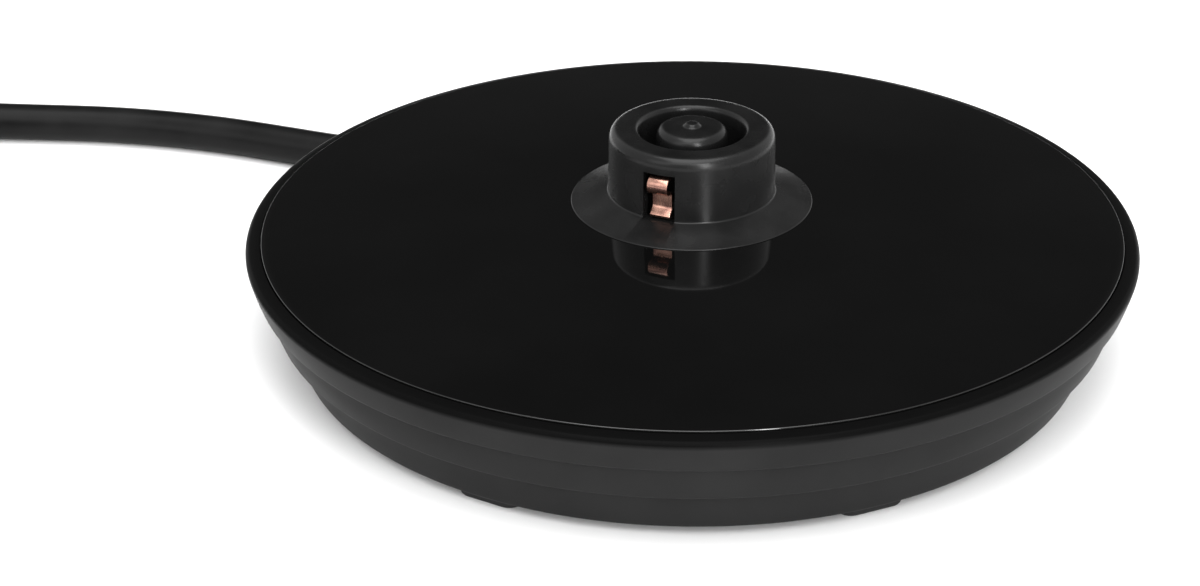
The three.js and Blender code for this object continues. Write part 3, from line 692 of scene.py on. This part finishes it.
def make_socket_cover():
    """Flange, post, well and skirt in one closed profile, then the three contact windows."""
    under = float(dome(16.6)) + 0.3
    flange_foot = float(dome(flange_radius)) + 0.06
    profile = rounded([
        (20.5, flange_foot + 0.2), (flange_radius, flange_foot, 0.05),
        (flange_radius - 0.1, flange_foot + 0.12, 0.06), (14.95, post_root - 0.1, 0.25),
        (14.75, post_top - 0.05, 2.2), (WELL_RADIUS + 0.3, post_top - 0.1, 1.3),
        (WELL_RADIUS, post_top - 2.2, 0.8), (WELL_RADIUS, post_top - 9.8, 0.2),
        (SLEEVE_RADIUS, post_top - 9.8, 0.2),
        (SLEEVE_RADIUS, post_top - 2.2, 0.3), (CAVITY_RADIUS, post_top - 2.2, 0.3),
        (CAVITY_RADIUS, post_root - 1, 0.5), (14.6, flange_z - 0.6, 0.5), (14.6, flange_low[2], 0.2),
        (16.6, flange_low[2], 0.3), (16.6, under, 0.2), (20.5, flange_foot + 0.2),
    ], 0.3, 8)
    post = turned("post", profile, 256)
    cutters = [block(11.9, 18, 6, post_root - 0.4, post_root + 8.5, WINDOW_ANGLE)]
    for angle, low in ((LIVE_ANGLE, post_top - 8.4), (NEUTRAL_ANGLE, post_top - 6.2)):
        cutters.append(block(8.3, 11.1, 4.8, low, low + 3.6, angle))
    return cut(post, *cutters)


settle(make_socket_cover(), "socket_cover", satin)

# %% [markdown]
# ## Centre boss
# The boss closes the well until a kettle pushes it down. It is hollow, with a wide foot that keeps it
# from coming out. It is a turned shape too, so its profile alone says everything.

# %% Centre boss
boss_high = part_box("shutter")[1][2] / MM
BOSS_RADIUS = 6.4


def make_shutter():
    """Hollow boss with a rounded top edge, a shallow dish and the small nub in the middle."""
    top = boss_high - 1.0
    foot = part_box("shutter")[0][2] / MM
    return turned("centre_boss", np.vstack([[(0, foot + 3)], rounded([
        (0.2, foot + 3), (4.4, foot + 3, 0.3), (4.4, foot, 0.2), (7.3, foot, 0.3), (7.3, foot + 5, 0.3),
        (BOSS_RADIUS, foot + 5, 0.2), (BOSS_RADIUS, top, 2.2), (1.6, top - 0.05, 0.5),
        (1.1, top + 0.6, 0.6), (0.1, top + 0.7),
    ], 0.3, 6), [(0, top + 0.7)]]), 128, closed=False)


settle(make_shutter(), "shutter", satin)

# %% [markdown]
# ## Spring contacts
# A contact is a strip cut from a sheet, bent, and pushed up inside the post. The nose is rolled outwards
# so that the kettle's ring slides over it. A strip is a small rounded rectangle carried along a bent
# line, so the cut edges catch the light as they do on the real one.

# %% Contact strips


def swept(name, line, section, across):
    """Section of (side, up) points carried along a line in a plane: side is the direction across
    the plane, and up is the line's own normal, found as across turned by the line's slope."""
    slope = np.gradient(line, axis=0)
    slope /= np.linalg.norm(slope, axis=1)[:, None]
    up = np.cross(across, slope)
    points = line[:, None, :] + section[None, :, :1] * across + section[None, :, 1:] * up[:, None, :]
    rows, columns = points.shape[:2]
    flat = points.reshape(-1, 3) * MM
    faces = [grid_faces(rows, columns, False, True)]
    faces.append(np.arange(columns)[None, ::-1])
    faces.append((rows - 1) * columns + np.arange(columns)[None, :])
    turns = np.linspace(0, 1, columns, endpoint=False)
    u, v = np.meshgrid(np.linspace(0, 1, rows), turns, indexing="ij")
    return outward(soften(mesh_object(name, flat, faces, np.stack([u.ravel(), v.ravel()], axis=-1))))


def rounded_section(width, height, corner, steps=4):
    """Rounded rectangle: four quarter circles, each about its own corner's centre."""
    turn = np.linspace(0, np.pi / 2, steps)
    centres = [(1, 1, 0), (-1, 1, 1), (-1, -1, 2), (1, -1, 3)]
    return np.vstack([
        np.stack([
            sx * (width / 2 - corner) + corner * np.cos(turn + quarter * np.pi / 2),
            sy * (height / 2 - corner) + corner * np.sin(turn + quarter * np.pi / 2),
        ], axis=-1)
        for sx, sy, quarter in centres
    ])


def contact_strip(name, bends, angle, width=3.8, thickness=0.5):
    """Strip through (radius, z) bends in the upright plane at an angle."""
    flat = np.array([(r, 0, z) for r, z in bends], dtype=float)
    line = catmull_rom(flat, 0.25)
    obj = swept(name, line, rounded_section(width, thickness, 0.14), np.array([0, 1.0, 0]))
    return moved(obj, turn_z(angle))


leg = CAVITY_RADIUS - 0.9
contact_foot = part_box("earth_contact")[0][2] / MM
earth_bends = [
    (leg, contact_foot), (leg, 18), (leg, 25), (leg, post_root - 2.4), (leg, post_root - 1.0),
    (leg + 0.5, post_root - 0.05), (leg + 1.7, post_root + 0.15), (leg + 2.0, post_root + 0.45),
    (leg + 1.45, post_root + 1.0), (leg + 0.95, post_root + 1.6), (leg + 0.88, post_root + 2.0),
    (leg + 0.88, post_root + 3.3), (leg + 0.95, post_root + 4.5), (leg + 1.5, post_root + 4.85),
    (leg + 2.6, post_root + 5.0), (leg + 3.25, post_root + 5.6), (leg + 3.42, post_root + 6.35),
    (leg + 3.1, post_root + 7.1), (leg + 2.3, post_root + 7.6), (leg + 1.3, post_root + 7.75),
]
settle(contact_strip("earth_strip", earth_bends, WINDOW_ANGLE), "earth_contact", copper)


def ring_bends(nose):
    """Leg, shoulder and rolled nose of a contact that reaches through the sleeve."""
    return [
        (leg, contact_foot), (leg, 18), (leg, 25), (leg, nose - 3.4), (leg - 0.1, nose - 2.2),
        (leg - 1.2, nose - 1.1), (WELL_RADIUS - 0.2, nose), (leg - 1.3, nose + 1),
        (leg - 0.4, nose + 1.5),
    ]


for pole, nose, angle in (("live", 6.7, LIVE_ANGLE), ("neutral", 4.5, NEUTRAL_ANGLE)):
    strip = contact_strip(f"{pole}_strip", ring_bends(post_top - nose), angle)
    settle(strip, f"{pole}_contact", copper)

# %% [markdown]
# ## Bottom cover and feet
# Nobody sees the underside on the table, but the part is used from every side. The cover is turned like
# the shell: a hub in the middle, a groove round it where spare cord is wound, and a flat ring for the
# feet. The screw wells, foot holes and the slot for the cord are cut out of it afterwards.

# %% Bottom cover
HUB_RADIUS, STORE_DRAFT, STORE_CEILING = 33.3, 1.8, 14.5
cover_low, cover_high = (np.array(corner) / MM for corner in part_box("bottom_cover"))
cover_z, cover_radius = cover_low[2], cover_high[0]
store_radius = shell_radius - 22.5
FOOT_RING, FOOT_ANGLES = shell_radius - 15.5, (240, 297, 0, 63, 117, 180)
ENTRY_Z = 9.2
clamp_ring = HUB_RADIUS - WALL - 4.3
clamp_z = ENTRY_Z + CORD_DIAMETER / 2 + 0.3


def polar(radius, degrees):
    """Point on a circle about the upright axis."""
    return radius * math.cos(math.radians(degrees)), radius * math.sin(math.radians(degrees))


def rod(radius, low, high, place, sides=32):
    """Upright solid cylinder, for adding or cutting."""
    upright = turned("rod", [(0, low), (radius, low), (radius, high), (0, high)], sides, closed=False)
    return moved(upright, shift(*place, 0))


def clamp_places():
    """Centres of the two clamp screws, on either side of the cord."""
    middle = np.array(polar(clamp_ring, CORD_ANGLE))
    across = np.array(polar(CORD_DIAMETER / 2 + 3, CORD_ANGLE + 90))
    return [tuple(middle - across), tuple(middle + across)]


def along_cord(obj):
    """Turns a piece made along +Z to lie along the cord at the hub wall."""
    return moved(obj, turn_z(CORD_ANGLE) @ shift(0, 0, ENTRY_Z) @ Matrix.Rotation(math.pi / 2, 4, "Y"))


def make_bottom_cover():
    """Hub, cord groove and flange, with bosses added and wells, holes and the slot taken away."""
    top = cover_z + WALL
    roof = STORE_CEILING + WALL
    profile = rounded([
        (0, cover_z), (HUB_RADIUS, cover_z, 0.5), (HUB_RADIUS + STORE_DRAFT, STORE_CEILING, 1.0),
        (store_radius, STORE_CEILING, 1.0), (store_radius + STORE_DRAFT, cover_z, 0.5),
        (cover_radius, cover_z, 0.3), (cover_radius, top, 0.3),
        (store_radius + STORE_DRAFT + 1.7, top, 0.4), (store_radius + 1.7, roof, 0.8),
        (HUB_RADIUS - 0.2, roof, 0.8), (HUB_RADIUS - WALL, top, 0.4), (0, top),
    ], 0.4, 5)
    body = turned("cover", profile, 240, closed=False)
    bosses = [rod(3.4, cover_z + 0.5, top + 1.8, polar(*at)) for at in COVER_SCREWS]
    bosses += [rod(2.3, top - 0.5, clamp_z - 0.3, at) for at in clamp_places()]
    for boss in bosses:
        step = body.modifiers.new("add", "BOOLEAN")
        step.operation, step.solver, step.object = "UNION", "EXACT", boss
    away = [rod(2.9, cover_z - 1, cover_z + 2.2, polar(*at)) for at in COVER_SCREWS]
    away += [rod(1.4, cover_z + 1, top + 3, polar(*at)) for at in COVER_SCREWS]
    away += [rod(2.1, cover_z - 1, top + 1, polar(FOOT_RING, angle)) for angle in FOOT_ANGLES]
    away += [rod(1.3, top + 1, clamp_z + 1, at) for at in clamp_places()]
    away.append(block(store_radius - 3, shell_radius + 4, CORD_DIAMETER + 3, -1, NOTCH_TOP, CORD_ANGLE))
    away.append(along_cord(rod(4.3, HUB_RADIUS - 5.5, HUB_RADIUS + 6.5, (0, 0))))
    body = cut(body, *away)
    for boss in bosses:
        bpy.data.objects.remove(boss)
    body.name = "bottom_plate"
    return body


settle(make_bottom_cover(), "bottom_cover", moulding)

# %% [markdown]
# ## Feet
# Each foot is a rubber pad with a stem pressed into the cover. A pad has no axis to turn it about, so
# its outline is a rounded rectangle, stacked in levels that shrink towards the floor.

# %% Feet


def puck(name, width, length, corner, levels):
    """Rounded rectangle stacked in levels of (z, inset): the inset shrinks the outline evenly."""
    rings = []
    for z, inset in levels:
        outline = rounded_section(width - 2 * inset, length - 2 * inset, corner - inset, 8)
        rings.append(np.column_stack([outline, np.full(len(outline), z)]))
    count = len(rings[0])
    points = np.vstack(rings) * MM
    faces = [grid_faces(len(rings), count, False, True), np.arange(count)[None, ::-1]]
    faces.append((len(rings) - 1) * count + np.arange(count)[None, :])
    return outward(soften(mesh_object(name, points, faces)))


def make_foot(name, angle):
    """Rubber pad with a rounded lower edge, and the stem that plugs into the cover."""
    height = cover_z - 0.3
    turn = np.linspace(0, np.pi / 2, 6)
    edge = [(0.6 - 0.6 * math.sin(a), 0.6 - 0.6 * math.cos(a)) for a in turn[::-1]]
    pad = puck("pad", 7.8, 12, 2.6, edge + [(height - 0.15, 0), (height, 0.15)])
    stem = [(0, height - 0.5), (1.6, height - 0.5), (1.6, 3.9), (1.3, 4.2), (0, 4.2)]
    stem = turned("stem", stem, 32, closed=False)
    foot = join(name, pad, stem)
    return moved(foot, shift(*polar(FOOT_RING, angle), 0) @ turn_z(angle))


for number, angle in enumerate(FOOT_ANGLES, 1):
    settle(make_foot(f"foot_pad_{number}", angle), f"foot_{number}", rubber)

# %% [markdown]
# ## Screws
# Eight self-tapping screws hold the covers, the retainer and the cord's clamp. A true helix would be
# finer than anyone can see, so the thread is a zigzag in the turned profile, and the cross recess is
# cut by two bars.

# %% Screws


def make_screw(name, place, z, length, head_radius, shank_radius):
    """Pan-head screw with a cross recess. A negative length points it down."""
    way = math.copysign(1, length)
    pitch = 0.8
    threads = [(0, 2.0 * way)]
    for k in range(int((abs(length) - 3) / pitch)):
        at = 2.2 + k * pitch
        threads += [(1, at * way), (0, (at + 0.3) * way)]
    body = [(shank_radius + (0 if outer else -0.25), along) for outer, along in threads]
    head = rounded([
        (0.2, 0), (head_radius, 0, 1.1), (head_radius, 1.7 * way, 0.2), (shank_radius, 1.7 * way),
        body[0],
    ], 0.3, 5)
    profile = [(0, 0), *head.tolist(), *body[1:], (0.15, length), (0, length)]
    screw = turned(name, profile, 32, closed=False)
    screw = moved(screw, shift(*place, z))
    slots = []
    for turn in (0, 90):
        bar = block(-head_radius * 0.6, head_radius * 0.6, 0.6, z - 1.1, z + 1.1, turn + 20)
        slots.append(moved(bar, shift(*place, 0)))
    screw = cut(screw, *slots)
    screw.name = name
    return screw


for number, at in enumerate(COVER_SCREWS, 1):
    fixing = make_screw(f"cover_fixing_{number}", polar(*at), cover_z + 0.2, 12, 2.5, 1)
    settle(fixing, f"cover_screw_{number}", steel)
retainer_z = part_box("socket_retainer")[0][2] / MM
for number, at in enumerate(RETAINER_SCREWS, 1):
    fixing = make_screw(f"retainer_fixing_{number}", polar(*at), retainer_z - 2.0, 9, 2.4, 1)
    settle(fixing, f"retainer_screw_{number}", steel)
for number, at in enumerate(clamp_places(), 1):
    fixing = make_screw(f"clamp_fixing_{number}", at, clamp_z + 4.0, -7, 2.1, 1)
    settle(fixing, f"clamp_screw_{number}", steel)

# %% [markdown]
# ## Strain relief
# The rubber sleeve keeps the cord from kinking where it leaves the hub, and its ribs let it bend
# evenly. It is turned like the cover, then laid along the cord.

# %% Strain relief


def make_strain_relief():
    """Collar inside the hub, neck through its wall, then a ribbed taper out to the cord."""
    inside, outside = HUB_RADIUS - WALL - 0.9, HUB_RADIUS + STORE_DRAFT + 0.3
    tip = store_radius - 1
    ribs = []
    for k in range(6):
        start = outside + 3.4 + k * 2.6
        reach = 4.9 - 0.13 * k
        ribs += [
            (reach - 0.75, start, 0.2), (reach, start + 0.4, 0.3), (reach, start + 1.5, 0.3),
            (reach - 0.8, start + 1.9, 0.2),
        ]
    profile = rounded([
        (0.2, inside - 1.1), (4.6, inside - 1.1, 0.3), (4.6, inside, 0.2), (3.8, inside, 0.2),
        (3.8, outside, 0.2), (5, outside, 0.4), (5, outside + 3, 0.3), *ribs,
        (CORD_DIAMETER / 2 + 0.5, tip, 0.3), (0.2, tip),
    ], 0.3, 5)
    profile = np.vstack([[(0, inside - 1.1)], profile, [(0, tip)]])
    return along_cord(turned("cord_sleeve", profile, 64, closed=False))


settle(make_strain_relief(), "strain_relief", rubber)

# %% [markdown]
# ## Wires and spring
# A bend in a wire isn't in one plane, so the circle is carried along with as little twist as the line
# allows. The spring gets shorter as the boss goes down; here it keeps the one length it is made at.

# %% Wires and spring


def round_bar(name, line, diameter, sides=16):
    """Circle carried along a line in space. The frame at each point is turned from the one before by
    the smallest turn, so the surface doesn't twist."""
    slope = np.gradient(line, axis=0)
    slope /= np.linalg.norm(slope, axis=1)[:, None]
    side = np.cross(slope[0], [0.31, 0.17, 0.94])
    frames = []
    for direction in slope:
        side = side - (side @ direction) * direction
        side /= np.linalg.norm(side)
        frames.append((side, np.cross(direction, side)))
    across, upward = (np.array(part) for part in zip(*frames))
    turn = np.linspace(0, 2 * np.pi, sides, endpoint=False)
    cosine, sine = np.cos(turn)[None, :, None], np.sin(turn)[None, :, None]
    ring = cosine * across[:, None, :] + sine * upward[:, None, :]
    points = (line[:, None, :] + ring * diameter / 2).reshape(-1, 3) * MM
    last = (len(line) - 1) * sides
    faces = [grid_faces(len(line), sides, False, True), np.arange(sides)[None, ::-1]]
    faces.append(last + np.arange(sides)[None, :])
    u, v = np.meshgrid(np.linspace(0, 1, len(line)), turn / (2 * np.pi), indexing="ij")
    uv = np.stack([u.ravel(), v.ravel()], axis=-1)
    return outward(soften(mesh_object(name, points, faces, uv), 50))


def wire_line(from_angle, to_angle, ring_radius, z, offset):
    """Route of a wire: from a terminal, round the hub, into the end of the sheath."""
    steps = max(2, round(abs(to_angle - from_angle) / 30))
    points = [(*polar(leg + 2.5, from_angle), contact_foot - 0.5)]
    for i in range(steps + 1):
        angle = from_angle + (to_angle - from_angle) * i / steps
        points.append((*polar(ring_radius - (1.5 if i == 0 else 0), angle), z))
    dx, dy = polar(offset[0], CORD_ANGLE + 90)
    for r in (clamp_ring - 5.4, clamp_ring - 3.3):
        x, y = polar(r, CORD_ANGLE)
        points.append((x + dx, y + dy, ENTRY_Z + offset[1]))
    return catmull_rom(points, 0.8)


WIRE_DIAMETER = 2.4
wire_z = cover_z + WALL + 1.8
for pole, finish, route in (
    ("live", live_skin, (LIVE_ANGLE, CORD_ANGLE + 16, 17.2, wire_z + 3, (1.5, 1.2))),
    ("earth", earth_skin, (WINDOW_ANGLE, CORD_ANGLE + 24, 20.4, wire_z, (0, -1.4))),
    ("neutral", neutral_skin, (NEUTRAL_ANGLE, CORD_ANGLE + 344, 17.2, wire_z + 3, (-1.5, 1.2))),
):
    settle(round_bar(f"{pole}_core", wire_line(*route), WIRE_DIAMETER), f"{pole}_wire", finish)

SPRING_WIRE = 0.9
spring_low, spring_high = (np.array(corner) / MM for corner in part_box("shutter_spring"))
bottom, top = spring_low[2] + SPRING_WIRE / 2, spring_high[2] - SPRING_WIRE / 2
share = np.linspace(0, 1, 260)
helix_turn = 2 * np.pi * 4 * share
helix = np.stack([
    (BOSS_RADIUS - 0.6) * np.cos(helix_turn), (BOSS_RADIUS - 0.6) * np.sin(helix_turn),
    bottom + (top - bottom) * smooth_step(share * 1.1 - 0.05),
], axis=-1)
spring = settle(round_bar("return_spring", helix, SPRING_WIRE, 12), "shutter_spring", steel)
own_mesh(spring)

# %% [markdown]
# ## Plug
# The cord ends in a round plug with two pins and recessed sides, where the earth clips lie. The body is
# turned, and the recesses are cut out of it, because they break its roundness in two places only.

# %% Plug
plug_start = np.array(TAIL[-1]) - np.array([0, 0.5, 0])
PLUG_NECK, PLUG_BODY, PLUG_RADIUS = 24, 32, 18.5


def along_plug(obj):
    """Turns a piece made along +Z to lie along the plug's axis, which runs towards -Y."""
    return moved(obj, shift(*plug_start) @ Matrix.Rotation(math.pi / 2, 4, "X"))


def make_plug_body():
    """Ribbed neck, waist for the fingers and round face, with a recess at the top and bottom."""
    end = PLUG_NECK + PLUG_BODY
    neck = CORD_DIAMETER / 2 + 0.9
    ribs = []
    for k in range(5):
        start, r = 2.5 + 3.4 * k, neck + 0.1 + 0.42 * k
        ribs += [
            (r + 0.7, start, 0.3), (r + 0.8, start + 1.7, 0.3), (r, start + 2.1, 0.3),
            (r + 0.2, start + 3.1, 0.3),
        ]
    profile = rounded([
        (0.2, 0), (neck, 0, 0.4), (neck, 2, 0.3), *ribs, (neck + 2.5, PLUG_NECK - 4, 0.8),
        (9.6, PLUG_NECK, 2.0), (15.2, PLUG_NECK + 6.5, 3.0), (16.3, PLUG_NECK + 13, 2.0),
        (PLUG_RADIUS, PLUG_NECK + 17, 2.0), (PLUG_RADIUS, end, 0.9), (0.2, end),
    ], 0.4, 7)
    body = turned("plug", np.vstack([[(0, 0)], profile, [(0, end)]]), 128, closed=False)
    cutters = []
    for side in (-1, 1):
        recess = puck("recess", 7, 2.4, 0.6, [(end - 17, 0), (end + 1, 0)])
        cutters.append(moved(recess, shift(0, side * PLUG_RADIUS, 0)))
    body = cut(body, *cutters)
    body.name = "mains_plug"
    return along_plug(body)


settle(make_plug_body(), "plug_body", moulding)
pin_z = PLUG_NECK + PLUG_BODY + 0.3
for number, side in enumerate((-1, 1), 1):
    pin = rounded([(0.2, pin_z), (2.4, pin_z, 0.15), (2.4, pin_z + 19, 1.5), (0.2, pin_z + 19)], 0.3, 8)
    pin = np.vstack([[(0, pin_z)], pin, [(0, pin_z + 19)]])
    pin = turned(f"contact_pin_{number}", pin, 64, closed=False)
    settle(along_plug(moved(pin, shift(side * 9.5, 0, 0))), f"plug_pin_{number}", nickel)
    blade = np.array([
        (0, side * (PLUG_RADIUS - 0.6 - 0.25 * math.sin(math.pi * t)), pin_z - 15.3 + 14 * t)
        for t in np.linspace(0, 1, 24)
    ])
    clip = swept(f"earth_clip_{number}", blade, rounded_section(5.4, 0.55, 0.2), np.array([1.0, 0, 0]))
    settle(along_plug(clip), f"plug_earth_clip_{number}", nickel)

# %% [markdown]
# ## Tie
# A rubber band holds the turns together. It runs under and over both turns, so its loop is a tall
# rectangle with corners as round as the cord, and a flat section is carried round it.

# %% Tie


def make_tie():
    """Closed band round the turns: the loop lies in the upright plane through the coil's middle."""
    low, high = coil_radius - CORD_DIAMETER / 2 - 1.1, coil_radius + CORD_DIAMETER / 2 + 0.7
    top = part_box("cord_tie")[1][2] / MM
    loop = rounded_section(high - low, top - 0.5, CORD_DIAMETER / 2 + 0.4, 14)
    line = np.column_stack([loop[:, 0] + (low + high) / 2, np.zeros(len(loop)), loop[:, 1] + top / 2])
    slope = np.roll(line, -1, axis=0) - np.roll(line, 1, axis=0)
    slope /= np.linalg.norm(slope, axis=1)[:, None]
    across = np.array([0, 1.0, 0])
    upward = np.cross(across, slope)
    section = rounded_section(8, 0.5, 0.2)
    sideways, outwards = section[None, :, :1] * across, section[None, :, 1:] * upward[:, None, :]
    points = line[:, None, :] + sideways + outwards
    rows, columns = points.shape[:2]
    band = mesh_object("coil_tie", points.reshape(-1, 3) * MM, [grid_faces(rows, columns, True, True)])
    return moved(outward(soften(band)), shift(*coil_middle, 0) @ turn_z(300))


settle(make_tie(), "cord_tie", rubber)
